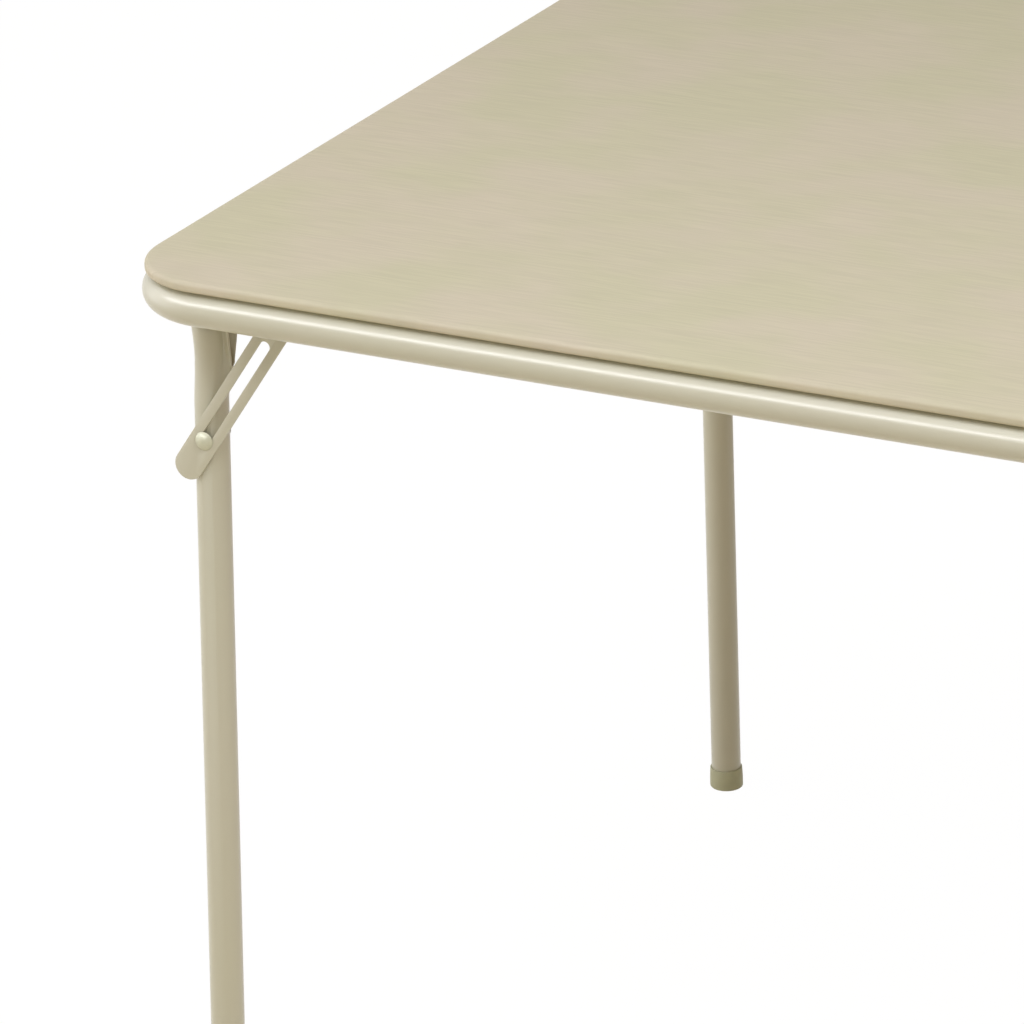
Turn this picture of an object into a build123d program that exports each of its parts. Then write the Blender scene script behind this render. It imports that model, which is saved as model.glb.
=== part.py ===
from build123d import *
from math import asin, cos, hypot, radians, sin, sqrt
import os

os.makedirs("parts", exist_ok=True)

# A folding card table: a padded vinyl top on a ring of steel tube, with four tube legs that
# fold one after another round the ring. +Z is up and the origin is the centre of the table,
# on the floor. The front left corner is modelled and turned about Z for the other three.

# Whole table
top_side = 863.6
table_height = 715.3
corner_names = ("front_left", "front_right", "back_right", "back_left")
corner_count = len(corner_names)
full_turn = 360

# Clearances
seat_gap = 0.3
side_gap = 0.3
running_gap = 0.1
weld_gap = 0.1
swing_gap = 0.7
cut_overrun = 5.0

# Padded top
panel_inset = 2.4
vinyl_thickness = 0.8
board_thickness = 3.0
foam_thickness = 3.4
rim_top_radius = 3.4
rim_bottom_radius = 2.0
hem_width = 25.0
pad_gap = 0.1

# Frame ring
frame_tube_diameter = 26.4
frame_wall = 1.2
frame_corner_radius = 62.0

# Corner brackets and panel lugs, pressed from one sheet
sheet_thickness = 2.0
bracket_overhang = 22.0
bracket_corner_radius = 4.0
bracket_bend_radius = 1.8
tongue_gap = 1.5
lug_width = 20.0
lug_reach = 24.0
lug_spacing = 260.0
lug_corner_radius = 5.0

# Panel screws
screw_radius = 1.6
screw_head_radius = 3.6
screw_head_height = 2.2
screw_tip_gap = 0.4
screw_setback = 9.0

# Legs
leg_diameter = 23.8
leg_wall = 1.2
leg_splay = 1.25
clevis_half_width = 9.2
clevis_back = 13.8
clevis_front = 17.4
clevis_top = 9.0
clevis_drop = 20.0
prow_half_width = 9.2
prow_back = 10.8
prow_front = 17.2
prow_nose = 1.8
prow_drop = 55.0
flare_drop = 76.0
ear_corner_rise = 0.2

# Leg pivot rivets
pivot_radius = 4.0
pivot_head_radius = 7.5

# Foot tips
foot_diameter = 26.8
foot_top_diameter = 25.9
foot_height = 17.5
foot_floor = 4.0
foot_edge_radius = 1.5

# Braces
strap_width = 21.6
strap_thickness = 2.0
slot_width = 7.8
slot_play = 5.5
slot_end_gap = 0.6
brace_pivot_reach = 65.5
tab_length = 34.15

# Brace studs
stud_boss_length = 8.6
stud_boss_radius = 7.0
stud_radius = 3.5
countersink_depth = 1.1

# Rivets between brace and leg
rivet_drop = 99.2
rivet_offset = 1.5
rivet_radius = 3.5
rivet_head_radius = 6.75
rivet_head_height = 3.0
tail_head_radius = 6.0
tail_head_height = 2.0

# Heights and insets that follow from the sizes
half_side = top_side / 2
tube_radius = frame_tube_diameter / 2
leg_radius = leg_diameter / 2
panel_side = top_side - 2 * panel_inset
panel_corner_radius = frame_corner_radius - panel_inset
panel_thickness = 2 * vinyl_thickness + board_thickness + foam_thickness
panel_bottom = table_height - panel_thickness
board_bottom = panel_bottom + vinyl_thickness
board_top = board_bottom + board_thickness
frame_z = panel_bottom - seat_gap - tube_radius

# The sheet pieces lie under the panel and end where they meet the tube's inner flank
sheet_bottom = panel_bottom - sheet_thickness
flank_reach = sqrt(tube_radius ** 2 - (sheet_bottom - frame_z) ** 2)
sheet_inset = tube_radius + flank_reach + weld_gap
lug_end = half_side - sheet_inset - lug_reach
screw_ring = lug_end + screw_setback

# From the frame's outer face inwards come tube, stud boss, strap and leg
strap_outer = frame_tube_diameter + stud_boss_length + side_gap
strap_inner = strap_outer + strap_thickness
leg_inset = strap_inner + side_gap + leg_radius
pivot_head_height = leg_radius - clevis_half_width - side_gap

# Tongues: as wide as turns about the pivot inside the half round back of the ears
clevis_bore = clevis_half_width - leg_wall
tongue_outer = clevis_bore - tongue_gap
back_depth = clevis_back - clevis_half_width + sqrt(clevis_bore ** 2 - tongue_outer ** 2)
tongue_radius = back_depth - swing_gap

# Pivots of the front left corner
ear_swing_radius = clevis_front + ear_corner_rise
splay = radians(leg_splay)
pivot_x = leg_inset - half_side
pivot_y = leg_inset - half_side
pivot_z = sheet_bottom - swing_gap - ear_swing_radius
leg_length = (pivot_z - foot_floor) / cos(splay)
rivet_x = pivot_x - rivet_drop * sin(splay) + rivet_offset * cos(splay)
rivet_z = pivot_z - rivet_drop * cos(splay) - rivet_offset * sin(splay)
brace_pivot_x = pivot_x + brace_pivot_reach
open_distance = hypot(brace_pivot_x - rivet_x, pivot_z - rivet_z)
folded_distance = hypot(rivet_drop - brace_pivot_reach, rivet_offset)

# The leg's own directions: X towards the side that it folds to, Z up the tube
leg_x_direction = (cos(splay), 0, -sin(splay))
leg_z_direction = (sin(splay), 0, cos(splay))
leg_plane = Plane((pivot_x, pivot_y, pivot_z), x_dir=leg_x_direction, z_dir=leg_z_direction)
leg_side_plane = Plane((pivot_x, pivot_y, pivot_z), x_dir=leg_x_direction, z_dir=(0, -1, 0))


def turning_plane(x, z):
    """A plane for half outlines: first axis a radius, second axis the depth behind the front."""
    return Plane((x, -half_side, z), x_dir=(1, 0, 0), z_dir=(0, 0, 1))


def turning_axis(x, z):
    """The line through x and z, square to the table's front, that such an outline turns about."""
    return Axis((x, -half_side, z), (0, 1, 0))


def dome_arc(base, radius, height):
    """Outline of a domed head on its flat base. A negative height faces the front."""
    ball = (radius ** 2 + height ** 2) / (2 * height)
    half_angle = asin(radius / abs(ball)) / 2
    middle = (abs(ball) * sin(half_angle), base + height - ball * (1 - cos(half_angle)))
    return ThreePointArc((0, base + height), middle, (radius, base))


def round_section(radius):
    """A circle in the same four stretches as a pressed section, to blend the two."""
    with BuildSketch() as section:
        with BuildLine():
            CenterArc((0, 0), radius, 90, 180)
            CenterArc((0, 0), radius, 270, 45)
            CenterArc((0, 0), radius, 315, 90)
            CenterArc((0, 0), radius, 45, 45)
        make_face()
    return section.sketch


def pressed_section(back, front, half_width, nose):
    """A leg pressed flat: a half round back, and two sides that run in to the nose's half width."""
    centre = half_width - back
    with BuildSketch() as section:
        with BuildLine():
            ThreePointArc((centre, half_width), (-back, 0), (centre, -half_width))
            Line((centre, -half_width), (front, -nose))
            Line((front, -nose), (front, nose))
            Line((front, nose), (centre, half_width))
        make_face()
    return section.sketch


def slab(side, corner_radius, bottom, thickness):
    """A square slab with rounded corners in plan."""
    with BuildPart() as plate:
        with BuildSketch(Plane.XY.offset(bottom)):
            RectangleRounded(side, side, corner_radius)
        extrude(amount=thickness)
    return plate.part


def keep(piece, name):
    """Name a finished piece and write it."""
    piece.label = name
    export_step(piece, f"parts/{name}.step")


def keep_four(master, name):
    """Write a corner piece once for each corner, turned about the table's centre."""
    for number, corner in enumerate(corner_names):
        with BuildPart() as turned:
            add(master, rotation=(0, 0, number * full_turn / corner_count))
        keep(turned.part, f"{name}_{corner}")


# Filling of the vinyl cover: the space that the board and the foam lie in
filled_side = panel_side - 2 * vinyl_thickness
filled_corner_radius = panel_corner_radius - vinyl_thickness
filled_top_radius = rim_top_radius - vinyl_thickness
filled_bottom_radius = rim_bottom_radius - vinyl_thickness
with BuildPart() as filling:
    add(slab(filled_side, filled_corner_radius, board_bottom, board_thickness + foam_thickness))
    fillet(filling.edges().group_by(Axis.Z)[-1], filled_top_radius)
    fillet(filling.edges().group_by(Axis.Z)[0], filled_bottom_radius)

# Vinyl cover: a wrapped skin with a rounded rim and a hem folded under the board
with BuildPart() as vinyl_cover:
    add(slab(panel_side, panel_corner_radius, panel_bottom, panel_thickness))
    fillet(vinyl_cover.edges().group_by(Axis.Z)[-1], rim_top_radius)
    fillet(vinyl_cover.edges().group_by(Axis.Z)[0], rim_bottom_radius)
    add(filling.part, mode=Mode.SUBTRACT)
    with BuildSketch(Plane.XY.offset(panel_bottom)):
        hem_opening = panel_side - 2 * hem_width
        RectangleRounded(hem_opening, hem_opening, panel_corner_radius - hem_width)
    extrude(amount=vinyl_thickness, mode=Mode.SUBTRACT)
keep(vinyl_cover.part, "vinyl_cover")

# Core board, with a blind hole for each panel screw
pad_side = filled_side - 2 * pad_gap
pad_corner_radius = filled_corner_radius - pad_gap
with BuildPart() as core_board:
    add(slab(pad_side, pad_corner_radius, board_bottom, board_thickness))
    fillet(core_board.edges().group_by(Axis.Z)[0], filled_bottom_radius)
    with BuildSketch(Plane.XY.offset(board_bottom)):
        with PolarLocations(screw_ring, corner_count):
            with GridLocations(0, lug_spacing, 1, 2):
                Circle(screw_radius + running_gap)
    extrude(amount=board_thickness - screw_tip_gap, mode=Mode.SUBTRACT)
keep(core_board.part, "core_board")

# Foam pad, its upper edge rounded under the vinyl
with BuildPart() as foam_pad:
    add(slab(pad_side, pad_corner_radius, board_top, foam_thickness))
    fillet(foam_pad.edges().group_by(Axis.Z)[-1], filled_top_radius)
keep(foam_pad.part, "foam_pad")

# Frame ring: one tube bent round four corners and welded shut
ring_half = half_side - tube_radius
with BuildPart() as frame_tube:
    with BuildLine(Plane.XY.offset(frame_z)) as ring:
        FilletPolyline(
            (-ring_half, -ring_half),
            (ring_half, -ring_half),
            (ring_half, ring_half),
            (-ring_half, ring_half),
            radius=frame_corner_radius - tube_radius,
            close=True,
        )
    with BuildSketch(Plane(ring.line @ 0, z_dir=ring.line % 0)):
        Circle(tube_radius)
        Circle(tube_radius - frame_wall, mode=Mode.SUBTRACT)
    sweep()
keep(frame_tube.part, "frame_tube")

# Panel lugs: flat tongues welded to the ring's inner flank, two on each side
with BuildPart() as panel_lugs:
    with BuildSketch(Plane.XY.offset(sheet_bottom)):
        with PolarLocations(lug_end + lug_reach / 2, corner_count):
            with GridLocations(0, lug_spacing, 1, 2):
                Rectangle(lug_reach, lug_width)
        with PolarLocations(screw_ring, corner_count):
            with GridLocations(0, lug_spacing, 1, 2):
                Circle(screw_radius + running_gap, mode=Mode.SUBTRACT)
    extrude(amount=sheet_thickness)
    lug_corners = panel_lugs.edges().filter_by(Axis.Z).filter_by(GeomType.LINE)
    inner_corners = lug_corners.filter_by(
        lambda corner: max(abs(corner.center().X), abs(corner.center().Y)) < screw_ring
    )
    fillet(inner_corners, lug_corner_radius)
keep(panel_lugs.part, "panel_lugs")

# Panel screws: pan heads under the lugs, shanks up into the board
with BuildPart() as panel_screws:
    with BuildSketch(Plane.XY.offset(sheet_bottom)):
        with PolarLocations(screw_ring, corner_count):
            with GridLocations(0, lug_spacing, 1, 2):
                Circle(screw_head_radius)
    extrude(amount=-screw_head_height)
    fillet(panel_screws.edges().group_by(Axis.Z)[0], screw_head_height / 2)
    with BuildSketch(Plane.XY.offset(sheet_bottom)):
        with PolarLocations(screw_ring, corner_count):
            with GridLocations(0, lug_spacing, 1, 2):
                Circle(screw_radius)
    extrude(amount=board_top - screw_tip_gap - sheet_bottom)
keep(panel_screws.part, "panel_screws")

# Corner bracket: a plate under the panel with two tongues that hang inside the leg's ears
plate_low = sheet_inset - half_side
plate_end_x = pivot_x + bracket_overhang
plate_end_y = pivot_y + tongue_outer
with BuildPart() as leg_bracket:
    with BuildSketch(Plane.XY.offset(sheet_bottom)) as plate:
        with Locations((plate_low, plate_low)):
            plate_size = (plate_end_x - plate_low, plate_end_y - plate_low)
            Rectangle(*plate_size, align=(Align.MIN, Align.MIN))
        fillet(plate.vertices().sort_by(Axis.X)[-2:], bracket_corner_radius)
        ring_inside = 2 * (half_side - sheet_inset)
        corner_radius = frame_corner_radius - sheet_inset
        RectangleRounded(ring_inside, ring_inside, corner_radius, mode=Mode.INTERSECT)
    extrude(amount=sheet_thickness)
    bend_edges = leg_bracket.edges().filter_by(Axis.X).group_by(Axis.Y)[-1]
    fillet(bend_edges.sort_by(Axis.Z)[-1], bracket_bend_radius)
    for tongue_face in (leg_inset - tongue_outer, leg_inset + tongue_outer - sheet_thickness):
        tongue_plane = Plane(
            (pivot_x, tongue_face - half_side, pivot_z), x_dir=(1, 0, 0), z_dir=(0, -1, 0)
        )
        with BuildSketch(tongue_plane):
            Circle(tongue_radius)
            tongue_rise = sheet_bottom - pivot_z
            Rectangle(2 * tongue_radius, tongue_rise, align=(Align.CENTER, Align.MIN))
            Circle(pivot_radius + running_gap, mode=Mode.SUBTRACT)
        extrude(amount=-sheet_thickness)
keep_four(leg_bracket.part, "leg_bracket")

# Leg: a tube whose top is pressed to a prow, slit down its front and spread into two ears
with BuildPart() as leg:
    with BuildSketch(leg_plane.offset(-leg_length)):
        Circle(leg_radius)
    extrude(amount=leg_length - flare_drop)
    with BuildSketch(leg_plane.offset(-flare_drop)):
        add(round_section(leg_radius))
    with BuildSketch(leg_plane.offset(-prow_drop)):
        add(pressed_section(prow_back, prow_front, prow_half_width, prow_nose))
    with BuildSketch(leg_plane.offset(-clevis_drop)):
        ears = (clevis_back, clevis_front, clevis_half_width, clevis_half_width)
        add(pressed_section(*ears))
    loft(ruled=True)
    with BuildSketch(leg_plane.offset(-clevis_drop)):
        add(pressed_section(*ears))
    extrude(amount=clevis_drop + clevis_top)

    # Bore: round below, closed behind the prow, and open at the front between the ears
    bore_radius = leg_radius - leg_wall
    prow_bore = (
        prow_back - leg_wall,
        prow_front - leg_wall,
        prow_half_width - leg_wall,
        prow_nose - leg_wall / 2,
    )
    ears_bore = (
        clevis_back - leg_wall,
        clevis_front + cut_overrun,
        clevis_bore,
        clevis_bore,
    )
    with BuildSketch(leg_plane.offset(-leg_length)):
        Circle(bore_radius)
    extrude(amount=leg_length - flare_drop, mode=Mode.SUBTRACT)
    with BuildSketch(leg_plane.offset(-flare_drop)):
        add(round_section(bore_radius))
    with BuildSketch(leg_plane.offset(-prow_drop)):
        add(pressed_section(*prow_bore))
    with BuildSketch(leg_plane.offset(-clevis_drop)):
        add(pressed_section(*ears_bore))
    loft(ruled=True, mode=Mode.SUBTRACT)
    with BuildSketch(leg_plane.offset(-clevis_drop)):
        add(pressed_section(*ears_bore))
    extrude(amount=clevis_drop + clevis_top + cut_overrun, mode=Mode.SUBTRACT)

    # Ears rounded about the pivot, so that they swing clear of the bracket's plate
    with BuildSketch(leg_side_plane):
        ear_cut = (clevis_front + cut_overrun, clevis_top + cut_overrun)
        Rectangle(*ear_cut, align=(Align.MIN, Align.MIN))
        Circle(ear_swing_radius, mode=Mode.SUBTRACT)
    extrude(amount=clevis_half_width + cut_overrun, both=True, mode=Mode.SUBTRACT)

    # Holes for the pivot rivet and for the brace's rivet
    with BuildSketch(leg_side_plane):
        Circle(pivot_radius + running_gap)
        with Locations((rivet_offset, -rivet_drop)):
            Circle(rivet_radius + running_gap)
    extrude(amount=leg_radius + cut_overrun, both=True, mode=Mode.SUBTRACT)
keep_four(leg.part, "leg")

# Leg pivot rivet: one shank through both ears, with a domed head on each
with BuildPart() as pivot_rivet:
    with BuildSketch(turning_plane(pivot_x, pivot_z)):
        with BuildLine():
            ear_faces = (leg_inset - clevis_half_width, leg_inset + clevis_half_width)
            dome_arc(ear_faces[0], pivot_head_radius, -pivot_head_height)
            Line((pivot_head_radius, ear_faces[0]), (pivot_radius, ear_faces[0]))
            Line((pivot_radius, ear_faces[0]), (pivot_radius, ear_faces[1]))
            Line((pivot_radius, ear_faces[1]), (pivot_head_radius, ear_faces[1]))
            dome_arc(ear_faces[1], pivot_head_radius, pivot_head_height)
            crowns = (ear_faces[0] - pivot_head_height, ear_faces[1] + pivot_head_height)
            Line((0, crowns[1]), (0, crowns[0]))
        make_face()
    revolve(axis=turning_axis(pivot_x, pivot_z))
keep_four(pivot_rivet.part, "pivot_rivet")

# Foot tip: a moulded cup on the leg's end, cut level on the floor
foot_low = -pivot_z / cos(splay) - cut_overrun
foot_top = -pivot_z / cos(splay) + foot_height
with BuildPart() as foot:
    with BuildSketch(leg_side_plane):
        with BuildLine():
            Polyline(
                (0, foot_low),
                (foot_diameter / 2, foot_low),
                (foot_diameter / 2, foot_top - foot_height / 2),
                (foot_top_diameter / 2, foot_top),
                (0, foot_top),
                close=True,
            )
        make_face()
    revolve(axis=Axis((pivot_x, pivot_y, pivot_z), leg_z_direction))
    with BuildSketch(leg_plane.offset(-leg_length)):
        Circle(leg_radius + running_gap)
    extrude(amount=foot_height, mode=Mode.SUBTRACT)
    split(bisect_by=Plane.XY, keep=Keep.TOP)
    fillet(foot.edges().group_by(Axis.Z)[0], foot_edge_radius)
keep_four(foot.part, "foot")

# Brace: a flat strap with an eye, one long slot for the leg's rivet, and a thumb tab
strap_plane = Plane(
    (brace_pivot_x, strap_outer - half_side, pivot_z),
    x_dir=(rivet_x - brace_pivot_x, 0, rivet_z - pivot_z),
    z_dir=(0, -1, 0),
)
strap_centres = open_distance + tab_length - strap_width / 2
slot_start = folded_distance - slot_play
slot_stop = open_distance + slot_end_gap
with BuildPart() as brace:
    with BuildSketch(strap_plane):
        with Locations((strap_centres / 2, 0)):
            SlotCenterToCenter(strap_centres, strap_width)
        with Locations(((slot_start + slot_stop) / 2, 0)):
            SlotCenterToCenter(slot_stop - slot_start, slot_width, mode=Mode.SUBTRACT)
        Circle(stud_radius + running_gap, mode=Mode.SUBTRACT)
    extrude(amount=-strap_thickness)
    eye_edges = brace.edges().filter_by(GeomType.CIRCLE).group_by(SortBy.RADIUS)[0]
    chamfer(eye_edges.sort_by(Axis.Y)[-1], countersink_depth)
keep_four(brace.part, "brace")

# Brace stud: a boss coped to the ring's inner side, its end spread flush in the strap's eye
with BuildPart() as brace_stud:
    boss_start = frame_tube_diameter - tube_radius / 2
    boss_end = strap_outer - side_gap
    with BuildSketch(turning_plane(brace_pivot_x, pivot_z)):
        with BuildLine():
            Polyline(
                (0, boss_start),
                (stud_boss_radius, boss_start),
                (stud_boss_radius, boss_end),
                (stud_radius, boss_end),
                (stud_radius, strap_inner - countersink_depth),
                (stud_radius + countersink_depth, strap_inner),
                (0, strap_inner),
                close=True,
            )
        make_face()
    revolve(axis=turning_axis(brace_pivot_x, pivot_z))
    with BuildSketch(Plane((brace_pivot_x, tube_radius - half_side, frame_z), z_dir=(1, 0, 0))):
        Circle(tube_radius + weld_gap)
    extrude(amount=stud_boss_radius + cut_overrun, both=True, mode=Mode.SUBTRACT)
keep_four(brace_stud.part, "brace_stud")

# Slot rivet: its domed head is outside the strap and its neck fills the slot
with BuildPart() as slot_rivet:
    with BuildSketch(turning_plane(rivet_x, rivet_z)):
        with BuildLine():
            head_face = strap_outer - side_gap
            dome_arc(head_face, rivet_head_radius, -rivet_head_height)
            Line((rivet_head_radius, head_face), (rivet_radius, head_face))
            Line((rivet_radius, head_face), (rivet_radius, strap_inner))
            Line((rivet_radius, strap_inner), (0, strap_inner))
            Line((0, strap_inner), (0, head_face - rivet_head_height))
        make_face()
    revolve(axis=turning_axis(rivet_x, rivet_z))
keep_four(slot_rivet.part, "slot_rivet")

# Rivet tail: the same rivet's shank through the leg, headed over on the far side
with BuildPart() as rivet_tail:
    with BuildSketch(turning_plane(rivet_x, rivet_z)):
        with BuildLine():
            leg_faces = (leg_inset - leg_radius, leg_inset + leg_radius)
            Line((0, leg_faces[0]), (rivet_radius, leg_faces[0]))
            Line((rivet_radius, leg_faces[0]), (rivet_radius, leg_faces[1]))
            Line((rivet_radius, leg_faces[1]), (tail_head_radius, leg_faces[1]))
            dome_arc(leg_faces[1], tail_head_radius, tail_head_height)
            Line((0, leg_faces[1] + tail_head_height), (0, leg_faces[0]))
        make_face()
    revolve(axis=turning_axis(rivet_x, rivet_z))
keep_four(rivet_tail.part, "rivet_tail")
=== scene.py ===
from math import cos, pi, radians, sin, tau

import bmesh
import bpy
from mathutils import Matrix, Vector, noise


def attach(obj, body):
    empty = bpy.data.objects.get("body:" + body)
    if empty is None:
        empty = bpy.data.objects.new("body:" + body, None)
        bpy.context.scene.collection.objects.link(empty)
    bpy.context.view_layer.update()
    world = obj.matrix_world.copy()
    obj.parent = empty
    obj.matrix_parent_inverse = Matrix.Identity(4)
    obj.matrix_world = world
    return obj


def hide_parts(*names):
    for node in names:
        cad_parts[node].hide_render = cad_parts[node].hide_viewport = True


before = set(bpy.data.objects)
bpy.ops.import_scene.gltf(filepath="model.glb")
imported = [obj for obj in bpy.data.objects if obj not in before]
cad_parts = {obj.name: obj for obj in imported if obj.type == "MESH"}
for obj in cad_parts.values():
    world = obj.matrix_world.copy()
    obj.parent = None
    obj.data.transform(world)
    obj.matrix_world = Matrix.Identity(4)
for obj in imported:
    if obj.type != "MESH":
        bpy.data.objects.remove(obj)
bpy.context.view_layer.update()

# Camera: a long lens to the right of the table's front left corner, above its top,
# turned a little about its own axis as the photograph is.
azimuth, elevation, roll = radians(28.2473), radians(22.1464), radians(-1.5431)
aim, distance = Vector((-0.00253, -0.66668, 0.7)), 3.83925
towards = Vector((sin(azimuth) * cos(elevation), -cos(azimuth) * cos(elevation), sin(elevation)))
bpy.ops.object.camera_add(location=aim + distance * towards)
camera = bpy.context.object
turn = Matrix.Rotation(azimuth, 3, "Z") @ Matrix.Rotation(pi / 2 - elevation, 3, "X")
camera.rotation_euler = (turn @ Matrix.Rotation(roll, 3, "Z")).to_euler()
camera.data.sensor_width = 36
camera.data.lens = 221.52
bpy.context.scene.camera = camera
bpy.context.scene.view_settings.view_transform = "Standard"


# Studio: a white sweep of floor under an even white sky. A high softbox lights the top, one at
# each side lights the legs, and a long strip is there only to be mirrored: it draws the line
# of light along the frame tube.
def linear(hex_colour):
    """An sRGB hex colour as the linear RGBA that a shader socket takes."""
    shares = [int(hex_colour[at:at + 2], 16) / 255 for at in (0, 2, 4)]
    return [s / 12.92 if s <= 0.04045 else ((s + 0.055) / 1.055) ** 2.4 for s in shares] + [1]


def node(tree, kind, links=(), **settings):
    """Add a node with its settings, and link sockets into it by name or number."""
    new = tree.nodes.new(kind)
    for name, value in settings.items():
        if name.startswith("in_"):
            key = name[3:].replace("_", " ")
            new.inputs[int(key) if key.isdigit() else key].default_value = value
        else:
            setattr(new, name, value)
    for socket, source in dict(links).items():
        tree.links.new(source, new.inputs[socket])
    return new


def looked_at(tree):
    """1 for a ray from the camera, a mirror or glass, which sees plain white, and else 0."""
    ray = node(tree, "ShaderNodeLightPath")
    mirrored = node(tree, "ShaderNodeMath", {0: ray.outputs["Is Camera Ray"],
                                             1: ray.outputs["Is Glossy Ray"]}, operation="MAXIMUM")
    return node(tree, "ShaderNodeMath", {0: mirrored.outputs[0],
                                         1: ray.outputs["Is Transmission Ray"]},
                operation="MAXIMUM").outputs[0]


world = bpy.data.worlds.new("white studio")
world.use_nodes = True
sky = world.node_tree
sky.nodes.clear()
white = looked_at(sky)
fill = node(sky, "ShaderNodeBackground", in_Color=linear("FFF3DC"), in_Strength=0.36)
plain = node(sky, "ShaderNodeBackground", in_Color=linear("FFFFFF"), in_Strength=1.0)
sky_mix = node(sky, "ShaderNodeMixShader", {0: white, 1: fill.outputs[0], 2: plain.outputs[0]})
node(sky, "ShaderNodeOutputWorld", {0: sky_mix.outputs[0]})
bpy.context.scene.world = world

# The last value says whether a lamp lights the table, or is only mirrored in it
for name, place, look_at, size, watts, lights in (
    ("long strip light", (-1.5, -2.4, 1.96), (-0.6, -0.43, 0.69), (3.8, 0.46), 98, False),
    ("high softbox", (0.2, -1.45, 3.0), (0.0, -0.2, 0.6), (2.4, 1.8), 39, True),
    ("left softbox", (-2.6, -0.9, 1.2), (0.0, 0.0, 0.5), (2.2, 2.4), 33, True),
    ("right softbox", (1.9, -1.25, 2.6), (0.0, 0.0, 0.5), (1.4, 1.4), 23, True),
):
    lamp = bpy.data.lights.new(name, "AREA")
    lamp.shape = "RECTANGLE"
    lamp.size, lamp.size_y = size
    lamp.energy = watts
    lamp.color = linear("FAFAFF")[:3]
    softbox = bpy.data.objects.new(name, lamp)
    bpy.context.scene.collection.objects.link(softbox)
    softbox.location = place
    facing = Vector(look_at) - Vector(place)
    softbox.rotation_euler = facing.to_track_quat("-Z", "Y").to_euler()
    softbox.visible_diffuse = lights

bpy.ops.mesh.primitive_plane_add(size=30, location=(0, 0, 0))
floor = bpy.context.object
floor.name = "studio_floor"
sweep = bpy.data.materials.new("white studio sweep")
sweep.use_nodes = True
paper = sweep.node_tree
paper.nodes.clear()
# The paper stays 3 % matt where it is looked at, so that it keeps the table's shadow
share = node(paper, "ShaderNodeMath", {0: looked_at(paper)}, operation="MULTIPLY", in_1=0.97)
matt = node(paper, "ShaderNodeBsdfDiffuse", in_Color=linear("F2E6CC"))
glow = node(paper, "ShaderNodeEmission", in_Color=linear("FFFFFF"), in_Strength=1.02)
sheet_mix = node(paper, "ShaderNodeMixShader", {0: share.outputs[0], 1: matt.outputs[0],
                                                2: glow.outputs[0]})
node(paper, "ShaderNodeOutputMaterial", {0: sheet_mix.outputs[0]})
floor.data.materials.append(sweep)


# Padded top: embossed vinyl sheet pulled over a thin foam pad and the board, wrapped round
# the board's edge and folded under as a hem. The pad swells a little towards the middle.
def only(piece):
    """Select this piece alone."""
    bpy.ops.object.select_all(action="DESELECT")
    piece.select_set(True)
    bpy.context.view_layer.objects.active = piece


def started(primitive, **shape):
    """A new primitive of this shape, alone selected, with its place in its mesh."""
    bpy.ops.object.select_all(action="DESELECT")
    primitive(**shape)
    bpy.ops.object.transform_apply(location=True, rotation=True, scale=True)
    return bpy.context.object


def edit(piece):
    """Open this piece alone in edit mode."""
    only(piece)
    bpy.ops.object.mode_set(mode="EDIT")


def pick(piece, kind, test):
    """Select the vertices, edges or faces of the piece in edit mode that pass the test."""
    bpy.ops.mesh.select_mode(type=kind)
    bpy.ops.mesh.select_all(action="DESELECT")
    mesh = bmesh.from_edit_mesh(piece.data)
    for part in {"VERT": mesh.verts, "EDGE": mesh.edges, "FACE": mesh.faces}[kind]:
        if test(part):
            part.select_set(True)
    mesh.select_flush_mode()
    bmesh.update_edit_mesh(piece.data)


def finish_modifier(piece, kind, **settings):
    """Add a modifier with its settings and apply it."""
    modifier = piece.modifiers.new(kind.title(), kind)
    for name, value in settings.items():
        setattr(modifier, name, value)
    only(piece)
    bpy.ops.object.modifier_apply(modifier=modifier.name)


def smooth(piece, degrees=35):
    """Round shading, with creases kept at the sharper edges."""
    only(piece)
    bpy.ops.object.shade_smooth_by_angle(angle=radians(degrees))


def settle(piece, name, material, slot, body, *nodes):
    """Name a piece, give it its finish, and seat it on its body in place of its CAD nodes."""
    only(piece)
    bpy.ops.object.transform_apply(location=True, rotation=True, scale=True)
    piece.name = name
    piece.data.name = name
    piece.data.materials.clear()
    piece.data.materials.append(material)
    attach(piece, body)
    if nodes:
        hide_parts(*nodes)
    return piece


def finish_material(name):
    """An empty node material with its output, its shader and the piece's own coordinates."""
    material = bpy.data.materials.new(name)
    material.use_nodes = True
    tree = material.node_tree
    tree.nodes.clear()
    shader = node(tree, "ShaderNodeBsdfPrincipled")
    node(tree, "ShaderNodeOutputMaterial", {0: shader.outputs[0]})
    place = node(tree, "ShaderNodeTexCoord").outputs["Object"]
    return material, tree, shader, place


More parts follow.
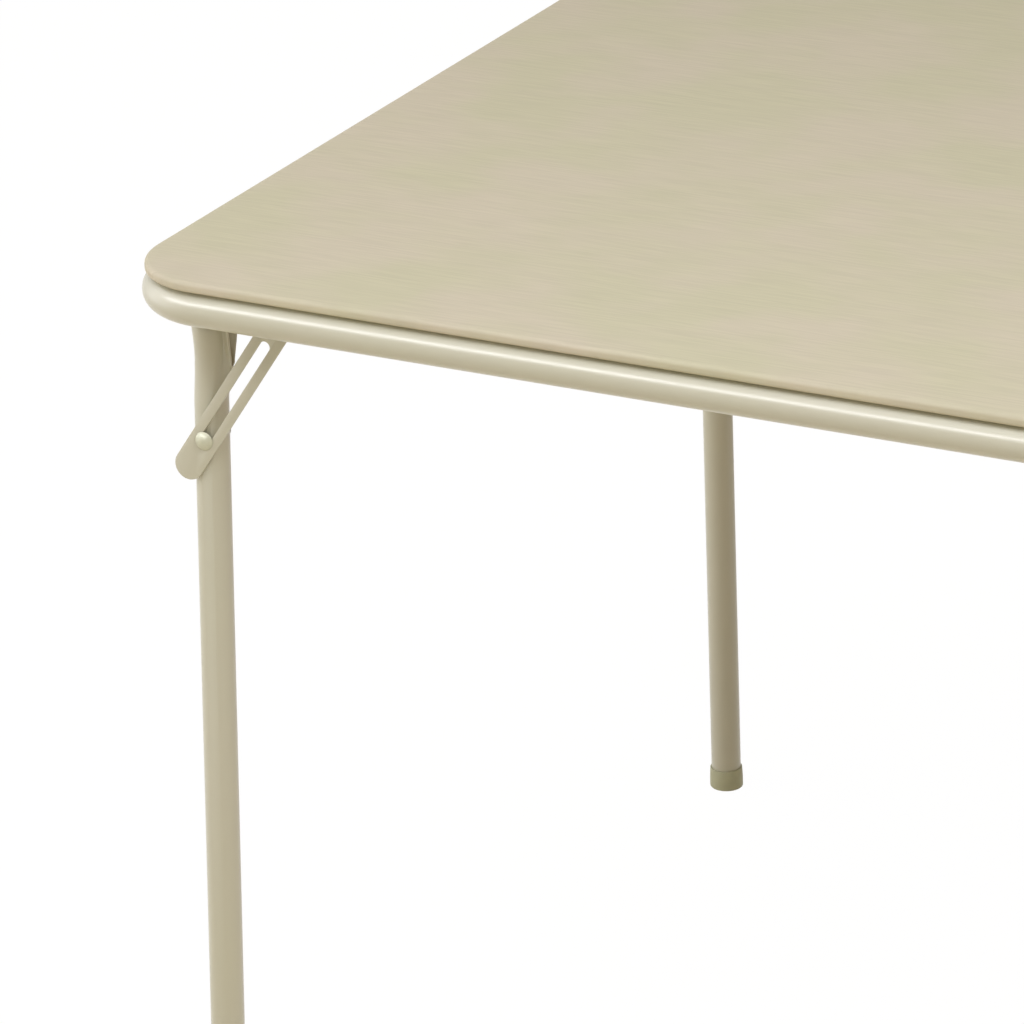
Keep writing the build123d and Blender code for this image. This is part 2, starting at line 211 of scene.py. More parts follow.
def crowned_slab(side, corner, bottom, top, lower_rim, upper_rim, swell):
    """A square pad with rounded corners and rims, its top rising by the swell to the middle."""
    slab = started(bpy.ops.mesh.primitive_cube_add, size=1, location=(0, 0, (bottom + top) / 2),
                   scale=(side, side, top - bottom))
    edit(slab)
    pick(slab, "EDGE", lambda e: abs(e.verts[0].co.z - e.verts[1].co.z) > 0.001)
    bpy.ops.mesh.bevel(offset=corner, segments=24, affect="EDGES")
    for height, rim in ((top, upper_rim), (bottom, lower_rim)):
        if rim:
            pick(slab, "EDGE", lambda e: all(abs(v.co.z - height) < 1e-5 for v in e.verts))
            bpy.ops.mesh.bevel(offset=rim, segments=7, affect="EDGES")
    pick(slab, "FACE", lambda f: f.normal.z > 0.999 and abs(f.calc_center_median().z - top) < 1e-5)
    for step, rise in ((0.006, 0.34), (0.010, 0.3), (0.014, 0.22), (0.016, 0.14)):
        bpy.ops.mesh.inset(thickness=step)
        bpy.ops.transform.translate(value=(0, 0, rise * swell))
    # A grid over the face, so that it can take the pad's slight unevenness
    grid, lines = 0.017, 22
    for across in (Vector((1, 0, 0)), Vector((0, 1, 0))):
        for line in range(-lines, lines + 1):
            pick(slab, "FACE", lambda f: f.normal.z > 0.9 and all(
                v.co.z > top + swell * 0.99 for v in f.verts))
            bpy.ops.mesh.bisect(plane_co=line * grid * across, plane_no=across)
    bpy.ops.object.mode_set(mode="OBJECT")
    return slab


vinyl, tree, shader, place = finish_material("embossed vinyl sheet")
# Calendered PVC with a fine linen emboss: satin, its thread lines running with the front edge,
# its beige drifting between a pink and a green cast from one hand's breadth to the next.
drift = node(tree, "ShaderNodeTexNoise", {"Vector": place}, in_Scale=12.0, in_Detail=2.0)
spread = node(tree, "ShaderNodeMapRange", {"Value": drift.outputs["Fac"]}, in_From_Min=0.36,
              in_From_Max=0.64)
cast = node(tree, "ShaderNodeMix", {"Factor": spread.outputs[0]}, data_type="RGBA",
            in_6=linear("CCC4B0"), in_7=linear("C8C4AA"))
# Slubs in the linen: about 45 mm long and 2 mm wide
slub_place = node(tree, "ShaderNodeMapping", {"Vector": place}, in_Scale=(22, 480, 60))
slub = node(tree, "ShaderNodeTexNoise", {"Vector": slub_place.outputs[0]}, in_Scale=1.0,
            in_Detail=3.0)
slub_tone = node(tree, "ShaderNodeMapRange", {"Value": slub.outputs["Fac"]},
                 in_From_Min=0.35, in_From_Max=0.65, in_To_Min=0.955, in_To_Max=1.03)
skin = node(tree, "ShaderNodeVectorMath", {0: cast.outputs[2], 1: slub_tone.outputs[0]},
            operation="MULTIPLY")
tree.links.new(skin.outputs[0], shader.inputs["Base Color"])
# Emboss: threads 1.6 mm apart both ways, coarser than the real 0.6 mm so that they show
warp = node(tree, "ShaderNodeTexWave", {"Vector": place}, bands_direction="X",
            in_Scale=196.0, in_Distortion=1.2, in_Detail=1.0, in_Detail_Scale=0.3)
weft = node(tree, "ShaderNodeTexWave", {"Vector": place}, bands_direction="Y",
            in_Scale=196.0, in_Distortion=1.2, in_Detail=1.0, in_Detail_Scale=0.3)
linen = node(tree, "ShaderNodeMath", {0: warp.outputs["Fac"], 1: weft.outputs["Fac"]},
             operation="MULTIPLY")
relief = node(tree, "ShaderNodeMath", {0: linen.outputs[0], 1: slub.outputs["Fac"]},
              operation="ADD")
bump = node(tree, "ShaderNodeBump", {"Height": relief.outputs[0]}, in_Strength=0.35,
            in_Distance=0.00006)
tree.links.new(bump.outputs[0], shader.inputs["Normal"])
sheen_drift = node(tree, "ShaderNodeMapRange", {"Value": drift.outputs["Fac"]},
                   in_To_Min=0.58, in_To_Max=0.66)
tree.links.new(sheen_drift.outputs[0], shader.inputs["Roughness"])
shader.inputs["Specular IOR Level"].default_value = 0.2

foam, tree, shader, place = finish_material("open cell polyurethane foam")
# Cut foam: matt, pale yellow, with cells about 0.7 mm across
cells = node(tree, "ShaderNodeTexVoronoi", {"Vector": place}, in_Scale=1400.0)
foam_tone = node(tree, "ShaderNodeMix", {"Factor": cells.outputs["Distance"]}, data_type="RGBA",
                 in_6=linear("C9B98A"), in_7=linear("E6DAB4"))
tree.links.new(foam_tone.outputs[2], shader.inputs["Base Color"])
pores = node(tree, "ShaderNodeBump", {"Height": cells.outputs["Distance"]}, in_Strength=0.6,
             in_Distance=0.0003)
tree.links.new(pores.outputs[0], shader.inputs["Normal"])
shader.inputs["Roughness"].default_value = 0.95

cover = crowned_slab(side=0.8588, corner=0.0596, bottom=0.7073, top=0.7149,
                     lower_rim=0.0020, upper_rim=0.0034, swell=0.0004)
edit(cover)
pick(cover, "FACE", lambda f: f.normal.z < -0.999 and f.calc_area() > 0.1)
hem, sheet = 0.0230, 0.0008
bpy.ops.mesh.inset(thickness=hem)
bpy.ops.mesh.delete(type="FACE")
bpy.ops.object.mode_set(mode="OBJECT")
# Shallow waves in the crown, which fade out towards the rim
crown, wave_depth, wave_reach, wave_fade = 0.7152, 0.00022, 0.36, 0.06
for vertex in cover.data.vertices:
    off_middle = max(abs(vertex.co.x), abs(vertex.co.y))
    inner = min(1.0, max(0.0, (wave_reach - off_middle) / wave_fade))
    if vertex.co.z > crown:
        vertex.co.z -= inner * wave_depth * (0.5 + 0.5 * noise.noise(vertex.co * 11))
finish_modifier(cover, "SOLIDIFY", thickness=sheet, offset=-1)
smooth(cover, 40)
settle(cover, "vinyl_skin", vinyl, "vinyl", "frame", "vinyl_cover")

pad = crowned_slab(side=0.8566, corner=0.0585, bottom=0.71115, top=0.7138,
                   lower_rim=0, upper_rim=0.0020, swell=0.0002)
smooth(pad, 40)
settle(pad, "foam_sheet", foam, "foam", "frame", "foam_pad")

# Core board: wet-felted hardboard, brown and hard, smooth on top. Its lower side keeps the
# print of the wire screen that it was pressed on, which shows between the hems.
hardboard, tree, shader, place = finish_material("screen backed hardboard")
# Fibres about 6 mm long in two browns; the screen's squares are 1.7 mm, drawn at 2.4 mm
fibre_place = node(tree, "ShaderNodeMapping", {"Vector": place}, in_Scale=(160, 420, 300))
fibres = node(tree, "ShaderNodeTexNoise", {"Vector": fibre_place.outputs[0]}, in_Scale=1.0,
              in_Detail=6.0)
stain = node(tree, "ShaderNodeTexNoise", {"Vector": place}, in_Scale=7.0, in_Detail=3.0)
brown = node(tree, "ShaderNodeMix", {"Factor": fibres.outputs["Fac"]}, data_type="RGBA",
             in_6=linear("6E4A2C"), in_7=linear("A27A50"))
stain_tone = node(tree, "ShaderNodeMapRange", {"Value": stain.outputs["Fac"]},
                  in_To_Min=0.84, in_To_Max=1.14)
board_tone = node(tree, "ShaderNodeVectorMath", {0: brown.outputs[2], 1: stain_tone.outputs[0]},
                  operation="MULTIPLY")
tree.links.new(board_tone.outputs[0], shader.inputs["Base Color"])
wires = node(tree, "ShaderNodeTexWave", {"Vector": place}, bands_direction="X", in_Scale=131.0)
cross_wires = node(tree, "ShaderNodeTexWave", {"Vector": place}, bands_direction="Y",
                   in_Scale=131.0)
screen = node(tree, "ShaderNodeMath", {0: wires.outputs["Fac"], 1: cross_wires.outputs["Fac"]},
              operation="MINIMUM")
print_height = node(tree, "ShaderNodeBump", {"Height": screen.outputs[0]}, in_Strength=0.8,
                    in_Distance=0.0003)
tree.links.new(print_height.outputs[0], shader.inputs["Normal"])
shader.inputs["Roughness"].default_value = 0.78
shader.inputs["Specular IOR Level"].default_value = 0.3
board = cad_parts["core_board"]
board.data.materials.clear()
board.data.materials.append(hardboard)

# Staples: a row of bright wire crowns along each side. They are driven up through the hem's
# inner edge into the board, by hand and so not quite in line, and leave the lugs free.
def copied(piece, place):
    """A copy of a piece with a mesh of its own, moved to its place by this matrix."""
    copy = bpy.data.objects.new(piece.name, piece.data.copy())
    bpy.context.scene.collection.objects.link(copy)
    copy.data.transform(place)
    return copy


def joined(parts):
    """These parts as one piece."""
    bpy.ops.object.select_all(action="DESELECT")
    for part in parts:
        part.select_set(True)
    bpy.context.view_layer.objects.active = parts[0]
    bpy.ops.object.join()
    return parts[0]


def quarter_turns(number):
    """The matrix that turns a piece about the table's middle by this many quarter turns."""
    return Matrix.Rotation(number * pi / 2, 4, "Z")


wire, tree, shader, place = finish_material("galvanised staple wire")
# Drawn wire, zinc dipped: dull silver, its gloss uneven from one millimetre to the next
draw_lines = node(tree, "ShaderNodeTexNoise", {"Vector": place}, in_Scale=900.0)
dullness = node(tree, "ShaderNodeMapRange", {"Value": draw_lines.outputs["Fac"]},
                in_To_Min=0.3, in_To_Max=0.5)
tree.links.new(dullness.outputs[0], shader.inputs["Roughness"])
shader.inputs["Base Color"].default_value = linear("B9BABA")
shader.inputs["Metallic"].default_value = 1
crown_length, crown_width, crown_thickness = 0.0104, 0.0011, 0.0006
staple = started(bpy.ops.mesh.primitive_cube_add, size=1,
                 scale=(crown_length, crown_width, crown_thickness))
edit(staple)
pick(staple, "EDGE", lambda e: abs(e.verts[0].co.x - e.verts[1].co.x) < 1e-6)
bpy.ops.mesh.bevel(offset=0.0002, segments=2, affect="EDGES")
bpy.ops.object.mode_set(mode="OBJECT")
staple_step, staple_y, staple_z = 0.066, -0.4092, 0.70705
lug_x, lug_room = 0.1300, 0.02
staples = []
for side in range(4):
    for along in range(-5, 6):
        x = along * staple_step
        if abs(abs(x) - lug_x) < lug_room:
            continue
        lean = 0.12 * sin(7.3 * along + 2.1 * side)
        staples.append(copied(staple, quarter_turns(side)
                              @ Matrix.Translation((x, staple_y, staple_z))
                              @ Matrix.Rotation(lean, 4, "Z")))
bpy.data.objects.remove(staple)
staple_row = joined(staples)
smooth(staple_row)
settle(staple_row, "hem_staples", wire, "zinc_screw", "frame")

# Frame ring: 26.4 mm steel tube bent round four corners, its ends welded at the middle of the
# back. Baked enamel over it, the same beige as on the legs and the braces.
enamel, tree, shader, place = finish_material("baked enamel on steel")
# Stoved enamel: an even, rather glossy beige film. It carries a faint orange peel of about
# 3 mm, and turns slightly greener and duller in patches as wide as a hand.
patch = node(tree, "ShaderNodeTexNoise", {"Vector": place}, in_Scale=8.0, in_Detail=2.0)
film = node(tree, "ShaderNodeMix", {"Factor": patch.outputs["Fac"]}, data_type="RGBA",
            in_6=linear("CCCABB"), in_7=linear("C9C9B5"))
tree.links.new(film.outputs[2], shader.inputs["Base Color"])
peel = node(tree, "ShaderNodeTexNoise", {"Vector": place}, in_Scale=330.0, in_Detail=1.0)
peel_bump = node(tree, "ShaderNodeBump", {"Height": peel.outputs["Fac"]}, in_Strength=0.03,
                 in_Distance=0.0001)
tree.links.new(peel_bump.outputs[0], shader.inputs["Normal"])
# Handling leaves fine dull rubs, about 12 mm across
rub = node(tree, "ShaderNodeTexNoise", {"Vector": place}, in_Scale=85.0, in_Detail=4.0)
gloss = node(tree, "ShaderNodeMapRange", {"Value": rub.outputs["Fac"]}, in_From_Min=0.35,
             in_From_Max=0.75, in_To_Min=0.29, in_To_Max=0.34)
tree.links.new(gloss.outputs[0], shader.inputs["Roughness"])
shader.inputs["IOR"].default_value = 1.52

# Half the straight run of a side, the bend's radius, the tube's radius, the ring's height
straight, bend, tube, height = 0.3698, 0.0488, 0.0132, 0.6938
quarter = started(bpy.ops.mesh.primitive_circle_add, vertices=64, radius=tube,
                  location=(-straight, -straight - bend, height), rotation=(0, pi / 2, 0))
edit(quarter)
bpy.ops.mesh.select_all(action="SELECT")
bpy.ops.mesh.extrude_region_move(TRANSFORM_OT_translate={"value": (2 * straight, 0, 0)})
bpy.ops.mesh.spin(steps=28, angle=-pi / 2, center=(straight, -straight, height), axis=(0, 0, 1))
bpy.ops.object.mode_set(mode="OBJECT")
ring = joined([quarter] + [copied(quarter, quarter_turns(side)) for side in (1, 2, 3)])
edit(ring)
bpy.ops.mesh.select_all(action="SELECT")
bpy.ops.mesh.remove_doubles(threshold=0.00001)
bpy.ops.mesh.normals_make_consistent(inside=False)
bpy.ops.object.mode_set(mode="OBJECT")
smooth(ring, 60)
settle(ring, "frame_ring", enamel, "enamelled_steel", "frame", "frame_tube")


# Sheet steel pieces: panel lugs and corner brackets, pressed and welded in the ring before
# the enamel. Their sheared edges are slightly rounded and filled by the film.
def dressed(node_name, piece_name, edge, material, slot, body, degrees=32):
    """A merged copy of a CAD node with its edges broken by this much, in its place."""
    piece = copied(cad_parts[node_name], Matrix.Identity(4))
    edit(piece)
    bpy.ops.mesh.select_all(action="SELECT")
    bpy.ops.mesh.remove_doubles(threshold=0.000004)
    bpy.ops.mesh.dissolve_limited(angle_limit=radians(0.5))
    bpy.ops.object.mode_set(mode="OBJECT")
    if edge:
        finish_modifier(piece, "BEVEL", width=edge, segments=2, limit_method="ANGLE",
                        angle_limit=radians(degrees))
    smooth(piece, degrees)
    return settle(piece, piece_name, material, slot, body, node_name)


corners = ("front_left", "front_right", "back_right", "back_left")
sheared = 0.0003
dressed("panel_lugs", "panel_lug_plates", sheared, enamel, "enamelled_steel", "frame")
for corner in corners:
    dressed(f"leg_bracket_{corner}", f"corner_bracket_{corner}", sheared, enamel,
            "enamelled_steel", "frame")

# Panel screws: eight zinc plated pan heads with a cross recess. Each is driven up through a
# lug into the board, and stops with its cross turned another way.
zinc, tree, shader, place = finish_material("zinc plated steel")
# Bright electroplated zinc, slightly blue, with a grain of 1.3 mm in its gloss
bright = node(tree, "ShaderNodeTexNoise", {"Vector": place}, in_Scale=800.0, in_Detail=2.0)
zinc_gloss = node(tree, "ShaderNodeMapRange", {"Value": bright.outputs["Fac"]},
                  in_To_Min=0.24, in_To_Max=0.42)
tree.links.new(zinc_gloss.outputs[0], shader.inputs["Roughness"])
shader.inputs["Base Color"].default_value = linear("BFC2C4")
shader.inputs["Metallic"].default_value = 1
head_radius, head_height, shank_radius, shank_length = 0.0036, 0.0022, 0.0016, 0.0054
screw = started(bpy.ops.mesh.primitive_cylinder_add, vertices=48, radius=head_radius,
                depth=head_height, location=(0, 0, -head_height / 2))
edit(screw)
pick(screw, "EDGE", lambda e: all(v.co.z < -0.9 * head_height for v in e.verts))
bpy.ops.mesh.bevel(offset=head_height / 2, segments=6, affect="EDGES")
pick(screw, "FACE", lambda f: f.normal.z > 0.99)
bpy.ops.mesh.inset(thickness=head_radius - shank_radius)
bpy.ops.mesh.extrude_region_move(TRANSFORM_OT_translate={"value": (0, 0, shank_length)})
bpy.ops.object.mode_set(mode="OBJECT")
# The recess: four wings 1.2 mm deep that narrow towards its floor
wing_width, wing_reach, recess_depth, floor_share = 0.0010, 0.0015, 0.0012, 0.6
recess = started(bpy.ops.mesh.primitive_cube_add, size=wing_width, location=(0, 0, -head_height),
                 scale=(1, 1, 2 * recess_depth / wing_width))
edit(recess)
pick(recess, "FACE", lambda f: abs(f.normal.z) < 0.1)
bpy.ops.mesh.extrude_faces_move(TRANSFORM_OT_shrink_fatten={"value": wing_reach})
pick(recess, "VERT", lambda v: v.co.z > -head_height)
bpy.ops.transform.resize(value=(floor_share, floor_share, 1), center_override=(0, 0, 0))
bpy.ops.object.mode_set(mode="OBJECT")
finish_modifier(screw, "BOOLEAN", object=recess, operation="DIFFERENCE", solver="EXACT")
bpy.data.objects.remove(recess)
screw_y, screw_z = -0.39702, 0.7053
screws = []
for number in range(8):
    along = lug_x if number % 2 else -lug_x
    screws.append(copied(screw, quarter_turns(number // 2)
                         @ Matrix.Translation((along, screw_y, screw_z))
                         @ Matrix.Rotation(radians(37 * number), 4, "Z")))
bpy.data.objects.remove(screw)
screw_set = joined(screws)
smooth(screw_set)
settle(screw_set, "panel_screw_set", zinc, "zinc_screw", "frame", "panel_screws")

# Legs: 23.8 mm steel tube, enamelled. Its top is slit down the front and the slit's edges are
# pressed forward as two lips, which meet in a prow below and spread into flat ears above.
# The leg is made upright with its pivot at the origin, then stood at the front left.
pivot = Vector((-0.3823, -0.3823, 0.6870))
splay = radians(1.25)
stand = Matrix.Translation(pivot) @ Matrix.Rotation(splay, 4, "Y")
leg_radius, leg_length, leg_wall = 0.0119, 0.68316, 0.0012
# Each row: drop below the pivot; centre and radius of the round back; the angle at which the
# round ends; where the lip ends, forward and to the side; the lip's slope; the nose's reach
leg_rows = (
    (0.0500, 0.0, 0.0110, 24, 0.0158, 0.0018, -0.1, 0.0014),
    (0.0465, 0.0, 0.0110, 22, 0.0160, 0.0021, -0.1, 0.0014),
    (0.0440, 0.0002, 0.0110, 20, 0.0186, 0.0029, 0.2, 0.0002),
    (0.0360, 0.0002, 0.0113, 17, 0.0186, 0.0050, 0.5, 0.0002),
    (0.0280, 0.0, 0.0118, 16, 0.0186, 0.0067, 0.6, 0.0002),
    (0.0200, -0.0009, 0.0119, 17, 0.0186, 0.0078, 0.6, 0.0002),
    (0.0120, -0.0046, 0.0092, 90, 0.0186, 0.0092, 0.0, 0.0002),
)
prow_drop, press_from, press_run = leg_rows[0][0], 0.0760, 0.0260


def leg_outline(turn, row):
    """The point of the pressed tube's outline at this turn of 0 to 1 about it, from the front."""
    centre, radius, ends, lip_x, lip_y, slope, reach = row[1:]
    nose_share, back_share = 14, 50
    degrees = (turn * 360 + 180) % 360 - 180
    side, degrees = (1 if degrees > 0 else -1), abs(degrees)
    if degrees >= back_share:
        angle = radians(ends + (degrees - back_share) / (180 - back_share) * (180 - ends))
        return centre + radius * cos(angle), side * radius * sin(angle)
    if degrees <= nose_share:
        swing = pi / 2 * degrees / nose_share
        return lip_x + reach * cos(swing), side * lip_y * sin(swing)
    # The lip between them is one smooth curve, from the round's end to the nose
    run = (back_share - degrees) / (back_share - nose_share)
    end = radians(ends)
    start_x, start_y = centre + radius * cos(end), radius * sin(end)
    pull = 0.9 * ((lip_x - start_x) ** 2 + (lip_y - start_y) ** 2) ** 0.5
    near, far = 2 * run ** 3 - 3 * run ** 2 + 1, 3 * run ** 2 - 2 * run ** 3
    leave, arrive = run * (1 - run) ** 2 * pull, run ** 2 * (run - 1) * pull
    return (near * start_x + leave * sin(end) + arrive + far * lip_x,
            side * (near * start_y - leave * cos(end) + arrive * slope + far * lip_y))


def leg_point(turn, drop):
    """Where the tube's surface lies at this turn and this drop below the pivot."""
    round_x, round_y = leg_radius * cos(turn * tau), leg_radius * sin(turn * tau)
    if drop >= prow_drop:
        press = min(1.0, max(0.0, (press_from - drop) / press_run))
        press = press * press * (3 - 2 * press)
        x, y = leg_outline(turn, leg_rows[0])
        return round_x + press * (x - round_x), round_y + press * (y - round_y)
    for low, high in zip(leg_rows, leg_rows[1:]):
        if drop > high[0]:
            run = (low[0] - drop) / (low[0] - high[0])
            return leg_outline(turn, [a + run * (b - a) for a, b in zip(low, high)])
    return leg_outline(turn, leg_rows[-1])


leg = started(bpy.ops.mesh.primitive_circle_add, vertices=128, radius=leg_radius,
              location=(0, 0, -leg_length))
edit(leg)
bpy.ops.mesh.select_all(action="SELECT")
ring_step, slit_end, lip_line = 0.0020, 0.0465, 0.0174
ear_top, ear_round, ear_round_from = 0.009, 0.0176, 0.0151
drops = [press_from - step * ring_step for step in range(14)] + [0.0485, slit_end]
drops += [0.0445 - step * ring_step for step in range(16)] + [0.0120, 0.0020, -ear_top]
reached = leg_length
for drop in drops:
    bpy.ops.mesh.extrude_region_move(TRANSFORM_OT_translate={"value": (0, 0, reached - drop)})
    reached = drop
bpy.ops.object.mode_set(mode="OBJECT")
for vertex in leg.data.vertices:
    turn = (Vector((1, 0)).angle_signed(Vector(vertex.co[:2])) / -tau) % 1
    vertex.co.x, vertex.co.y = leg_point(turn, -vertex.co.z)
    if vertex.co.z > ear_top - 0.0001 and vertex.co.x > ear_round_from:
        vertex.co.z = max(0.0, ear_round ** 2 - vertex.co.x ** 2) ** 0.5
edit(leg)
bpy.ops.mesh.select_all(action="SELECT")
bpy.ops.mesh.normals_make_consistent(inside=False)
# The front wall is cut off between the lips, down to the prow, before the tube gets its wall
pick(leg, "FACE", lambda f: all(v.co.z > -slit_end - 0.00001 for v in f.verts))
bpy.ops.mesh.bisect(plane_co=(lip_line, 0, 0), plane_no=(1, 0, 0), clear_outer=True)
bpy.ops.object.mode_set(mode="OBJECT")
finish_modifier(leg, "SOLIDIFY", thickness=leg_wall, offset=-1)

# Holes for the pivot rivet, and for the slot rivet's tail
pivot_hole, tail_hole, tail_forward, tail_drop = 0.0041, 0.0036, 0.0015, 0.0992
for radius, at in ((pivot_hole, (0, 0, 0)), (tail_hole, (tail_forward, 0, -tail_drop))):
    cutter = started(bpy.ops.mesh.primitive_cylinder_add, vertices=48, radius=radius, depth=0.04,
                     location=at, rotation=(pi / 2, 0, 0))
    finish_modifier(leg, "BOOLEAN", object=cutter, operation="DIFFERENCE", solver="EXACT")
    bpy.data.objects.remove(cutter)
finish_modifier(leg, "BEVEL", width=0.0002, segments=2, limit_method="ANGLE",
                angle_limit=radians(50))
smooth(leg, 40)
leg.data.transform(stand)


def four(master, stem, material, slot, body, *nodes):
    """The corner piece and its three copies turned about the table, each on its own body."""
    for number, corner in enumerate(corners):
        settle(copied(master, quarter_turns(number)), f"{stem}_{corner}", material, slot,
               body.replace("*", corner), *(name.replace("*", corner) for name in nodes))
    bpy.data.objects.remove(master)


four(leg, "leg_tube", enamel, "enamelled_steel", "leg_*", "leg_*")

# Rivets: one through the ears and the bracket's tongues, the leg's pivot, and the tail of the
# slot rivet through the leg. Both are steel, domed by the rivet set and enamelled with the leg.
dome_smooth = 50
for corner in corners:
    dressed(f"pivot_rivet_{corner}", f"ear_rivet_{corner}", 0, enamel, "enamelled_steel",
            f"leg_{corner}", dome_smooth)
    dressed(f"rivet_tail_{corner}", f"rivet_end_{corner}", 0, enamel, "enamelled_steel",
            f"leg_{corner}", dome_smooth)

# Foot tips: moulded cups pushed on the leg ends, soft satin plastic a little darker and
# greener than the enamel, with a rounded tread.
plastic, tree, shader, place = finish_material("moulded vinyl foot plastic")
# Soft PVC moulding: satin, with a spark texture of 0.7 mm and a mottle of about 7 mm
grain = node(tree, "ShaderNodeTexNoise", {"Vector": place}, in_Scale=1400.0, in_Detail=2.0)
scuff = node(tree, "ShaderNodeTexNoise", {"Vector": place}, in_Scale=140.0, in_Detail=4.0)
cup = node(tree, "ShaderNodeMix", {"Factor": scuff.outputs["Fac"]}, data_type="RGBA",
           in_6=linear("AEAF93"), in_7=linear("BDBF9F"))
tree.links.new(cup.outputs[2], shader.inputs["Base Color"])
cup_bump = node(tree, "ShaderNodeBump", {"Height": grain.outputs["Fac"]}, in_Strength=0.15,
                in_Distance=0.0001)
tree.links.new(cup_bump.outputs[0], shader.inputs["Normal"])
shader.inputs["Roughness"].default_value = 0.5

# On the leg's axis, from where it meets the floor: a straight skirt, then a slightly tapered one
foot_low = -pivot.z / cos(splay)
cup_radius, skirt, tapered, taper = 0.0134, 0.0145, 0.00875, 0.9664
lip_round, tread_round, socket_wall, socket_depth = 0.0004, 0.0015, 0.00055, 0.0134
skirt_middle = foot_low + 0.0015
foot = started(bpy.ops.mesh.primitive_cylinder_add, vertices=64, radius=cup_radius, depth=skirt,
               location=(0, 0, skirt_middle))
edit(foot)
pick(foot, "FACE", lambda f: f.normal.z > 0.9)
bpy.ops.mesh.extrude_region_move(TRANSFORM_OT_translate={"value": (0, 0, tapered)})
bpy.ops.transform.resize(value=(taper, taper, 1))
pick(foot, "EDGE", lambda e: all(v.co.z > skirt_middle + skirt for v in e.verts))
bpy.ops.mesh.bevel(offset=lip_round, segments=3, affect="EDGES")
pick(foot, "FACE", lambda f: f.normal.z > 0.99 and f.calc_area() > 1e-4)
bpy.ops.mesh.inset(thickness=socket_wall)
bpy.ops.mesh.extrude_region_move(TRANSFORM_OT_translate={"value": (0, 0, -socket_depth)})
bpy.ops.object.mode_set(mode="OBJECT")
# The splayed cup is cut level at the floor, and its tread rounded
foot.data.transform(stand)
edit(foot)
bpy.ops.mesh.select_all(action="SELECT")
bpy.ops.mesh.bisect(plane_co=(0, 0, 0), plane_no=(0, 0, 1), use_fill=True, clear_inner=True)
pick(foot, "EDGE", lambda e: all(abs(v.co.z) < 1e-6 for v in e.verts))
bpy.ops.mesh.bevel(offset=tread_round, segments=5, affect="EDGES")
bpy.ops.mesh.select_all(action="SELECT")
bpy.ops.mesh.normals_make_consistent(inside=False)
bpy.ops.object.mode_set(mode="OBJECT")
smooth(foot, 40)
four(foot, "foot_cup", plastic, "foot_plastic", "leg_*", "foot_*")

# Braces: 22 mm flat steel strap, one beside each leg, with one long punched slot and a round
# thumb tab below it. Its edges are tumbled before the enamel, so they are a little rounder.
tumbled = 0.00035
for corner in corners:
    dressed(f"brace_{corner}", f"brace_strap_{corner}", tumbled, enamel, "enamelled_steel",
            f"brace_{corner}")

# Brace studs: turned steel bosses, each welded to the ring's inner side. A neck ends each,
# spread flush in the strap's eye, with the mark of the setting tool in its middle.
eye_x, eye_z, weld_foot_y, weld_foot_radius = -0.3168, pivot.z, -0.4120, 0.0062
stud = started(bpy.ops.mesh.primitive_circle_add, vertices=64, radius=weld_foot_radius,
               location=(eye_x, weld_foot_y, eye_z), rotation=(pi / 2, 0, 0))
edit(stud)
bpy.ops.mesh.select_all(action="SELECT")
# The weld's round foot, the boss, its shoulder, the neck in the eye, the set end
at_y, at_radius = weld_foot_y, weld_foot_radius
for y, radius in ((-0.4116, 0.0070), (-0.4108, 0.0074), (-0.4066, 0.0074), (-0.4054, 0.0073),
                  (-0.4046, 0.0071), (-0.4038, 0.0070), (-0.3971, 0.0070), (-0.3969, 0.0069),
                  (-0.3968, 0.0067), (-0.3968, 0.0035), (-0.3956, 0.0035), (-0.3946, 0.0045),
                  (-0.3945, 0.00455), (-0.3945, 0.0015), (-0.3948, 0.0010), (-0.3950, 0.0002)):
    bpy.ops.mesh.extrude_region_move(TRANSFORM_OT_translate={"value": (0, y - at_y, 0)})
    scale = radius / at_radius
    bpy.ops.transform.resize(value=(scale, 1, scale), center_override=(eye_x, y, eye_z))
    at_y, at_radius = y, radius
bpy.ops.mesh.edge_face_add()
pick(stud, "EDGE", lambda e: all(v.co.y < weld_foot_y + 0.00001 for v in e.verts))
bpy.ops.mesh.edge_face_add()
bpy.ops.mesh.select_all(action="SELECT")
bpy.ops.mesh.normals_make_consistent(inside=False)
bpy.ops.object.mode_set(mode="OBJECT")
smooth(stud)
four(stud, "stud_boss", enamel, "enamelled_steel", "frame", "brace_stud_*")

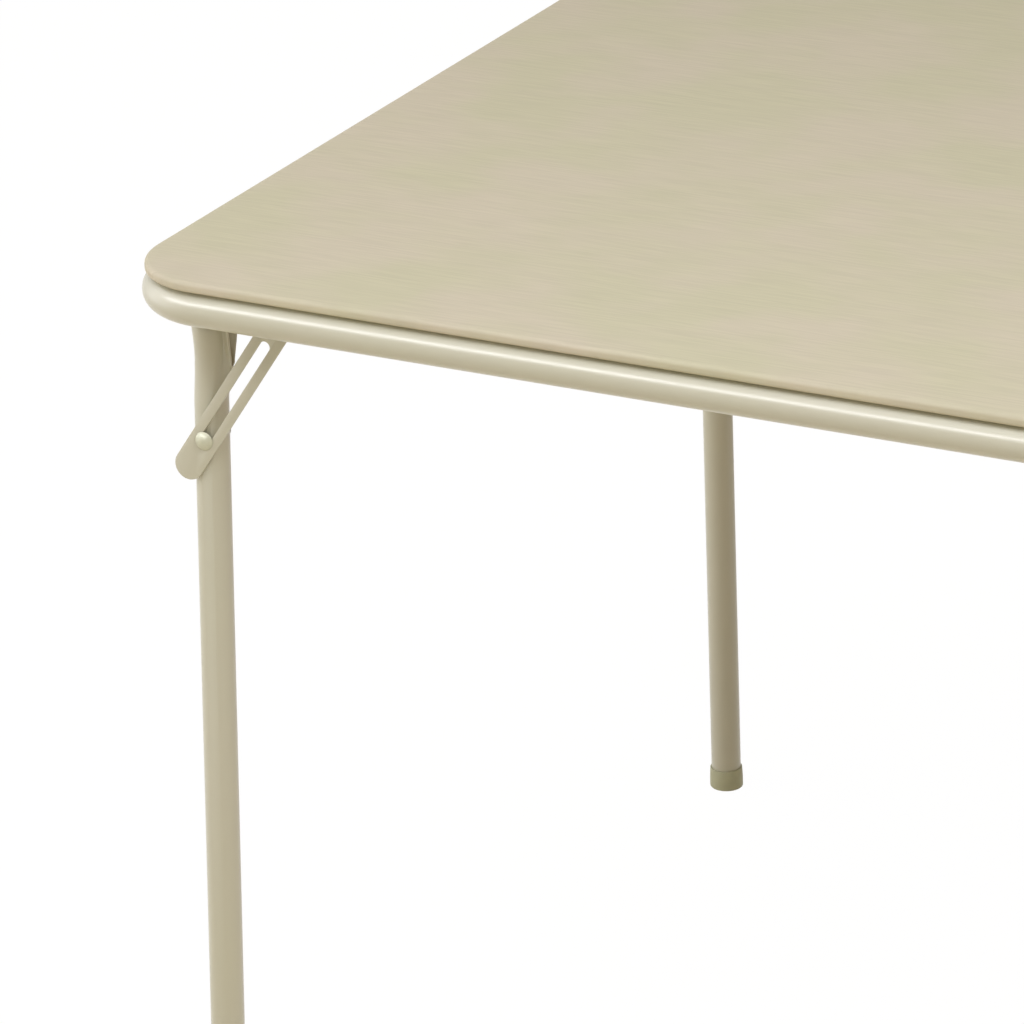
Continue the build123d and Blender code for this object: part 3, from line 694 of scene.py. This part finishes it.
# Slot rivets: a domed head outside the strap, plated steel under the same thin film of
# lacquer, so it is paler and greener than the enamel and glints at its upper left.
plated, tree, shader, place = finish_material("lacquered nickel plated steel")
# Dull nickel under clear lacquer: pale, slightly green, a soft glint, marks 2 mm wide
tarnish = node(tree, "ShaderNodeTexNoise", {"Vector": place}, in_Scale=480.0, in_Detail=3.0)
nickel = node(tree, "ShaderNodeMix", {"Factor": tarnish.outputs["Fac"]}, data_type="RGBA",
              in_6=linear("C4C6AE"), in_7=linear("D2D3BD"))
tree.links.new(nickel.outputs[2], shader.inputs["Base Color"])
shader.inputs["Metallic"].default_value = 0.1
shader.inputs["Roughness"].default_value = 0.42
for corner in corners:
    dressed(f"slot_rivet_{corner}", f"slot_rivet_head_{corner}", 0, plated, "plated_rivet",
            f"slot_rivet_{corner}", dome_smooth)

# Weld beads: short fillet welds under the lugs and the brackets where they meet the ring,
# laid before the enamel and rippled every 2 mm.
weld_y, weld_z, weld_radius, ripple = -0.4121, 0.7046, 0.0017, 0.002
bracket_x, lug_weld, bracket_weld = -0.3815, 0.015, 0.021
beads = []
for side in range(4):
    for along, reach in ((-lug_x, lug_weld), (lug_x, lug_weld), (bracket_x, bracket_weld)):
        bead = started(bpy.ops.mesh.primitive_cylinder_add, vertices=10, radius=weld_radius,
                       depth=reach, location=(along, weld_y, weld_z), rotation=(0, pi / 2, 0))
        edit(bead)
        pick(bead, "EDGE", lambda e: abs(e.verts[0].co.x - e.verts[1].co.x) > 0.01)
        bpy.ops.mesh.subdivide(number_cuts=20)
        bpy.ops.object.mode_set(mode="OBJECT")
        for vertex in bead.data.vertices:
            run = (vertex.co.x - along) / reach
            swell = (1 - (2 * run) ** 4 * 0.75) * (1 + 0.12 * sin(vertex.co.x * tau / ripple))
            vertex.co.y = weld_y + (vertex.co.y - weld_y) * swell
            vertex.co.z = weld_z + (vertex.co.z - weld_z) * swell
        bead.data.transform(quarter_turns(side))
        beads.append(bead)
welds = joined(beads)
smooth(welds, 60)
settle(welds, "weld_beads", enamel, "enamelled_steel", "frame")
